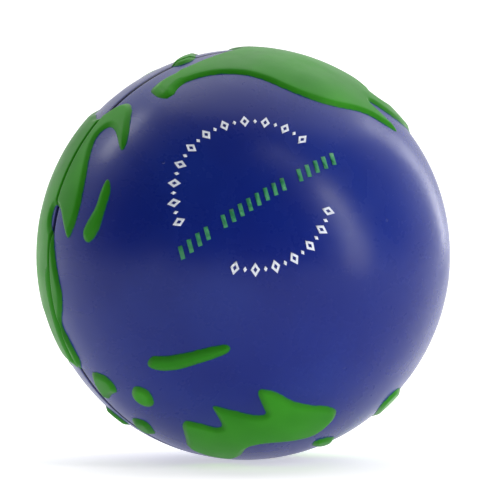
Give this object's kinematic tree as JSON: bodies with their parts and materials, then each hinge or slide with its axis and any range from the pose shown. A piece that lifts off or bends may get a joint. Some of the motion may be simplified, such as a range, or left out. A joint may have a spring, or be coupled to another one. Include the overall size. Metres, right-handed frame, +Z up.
{
  "type": "globe stress ball",
  "caption": "Soft foam stress ball moulded as a simplified globe, with raised green lands on a blue sea and a small round imprint of plain marks.",
  "frame": {"origin": "centre of the ball", "axes": "+Z up as the ball stands, -Y towards the imprint side, X along the parting plane, which is y = 0"},
  "size_m": [0.0632, 0.0629, 0.0629],
  "materials": {
    "core_foam": "open-celled soft polyurethane foam",
    "sea_coat": "semi-gloss blue coat on moulded foam skin",
    "land_coat": "semi-gloss green coat on moulded foam skin",
    "white_ink": "thin pad-printed ink",
    "green_ink": "thin pad-printed ink"
  },
  "bodies": {
    "rear_half": {"foam_core": "core_foam", "skin_rear": "sea_coat", "land_eurasia_rear": "land_coat", "land_africa": "land_coat", "land_north_america_rear": "land_coat", "land_baffin_rear": "land_coat", "land_greenland": "land_coat", "land_south_america": "land_coat", "land_antarctica_rear": "land_coat", "land_britain": "land_coat", "land_iceland": "land_coat", "land_madagascar": "land_coat", "land_sri_lanka": "land_coat", "land_sumatra": "land_coat"},
    "front_half": {"skin_front": "sea_coat", "land_siberia_front": "land_coat", "land_china_front": "land_coat", "land_japan": "land_coat", "land_borneo": "land_coat", "land_celebes": "land_coat", "land_java": "land_coat", "land_new_guinea": "land_coat", "land_australia": "land_coat", "land_tasmania": "land_coat", "land_north_america_front": "land_coat", "land_baffin_front": "land_coat", "land_antarctica_front": "land_coat", "print_upper_arc": "white_ink", "print_middle_row": "green_ink", "print_lower_arc": "white_ink"}
  },
  "joints": [
    {"name": "squeeze", "type": "slide", "parent": "rear_half", "child": "front_half", "axis": [0, 1, 0], "range_m": [0, 0.018], "stiffness_N_per_m": 1500, "deforming": ["foam_core", "skin_front", "skin_rear", "land_siberia_front", "land_china_front", "land_japan", "land_borneo", "land_celebes", "land_java", "land_new_guinea", "land_australia", "land_tasmania", "land_north_america_front", "land_baffin_front", "land_antarctica_front", "land_eurasia_rear", "land_africa", "land_north_america_rear", "land_baffin_rear", "land_greenland", "land_south_america", "land_antarctica_rear", "land_britain", "land_iceland", "land_madagascar", "land_sri_lanka", "land_sumatra", "print_upper_arc", "print_middle_row", "print_lower_arc"]}
  ]
}
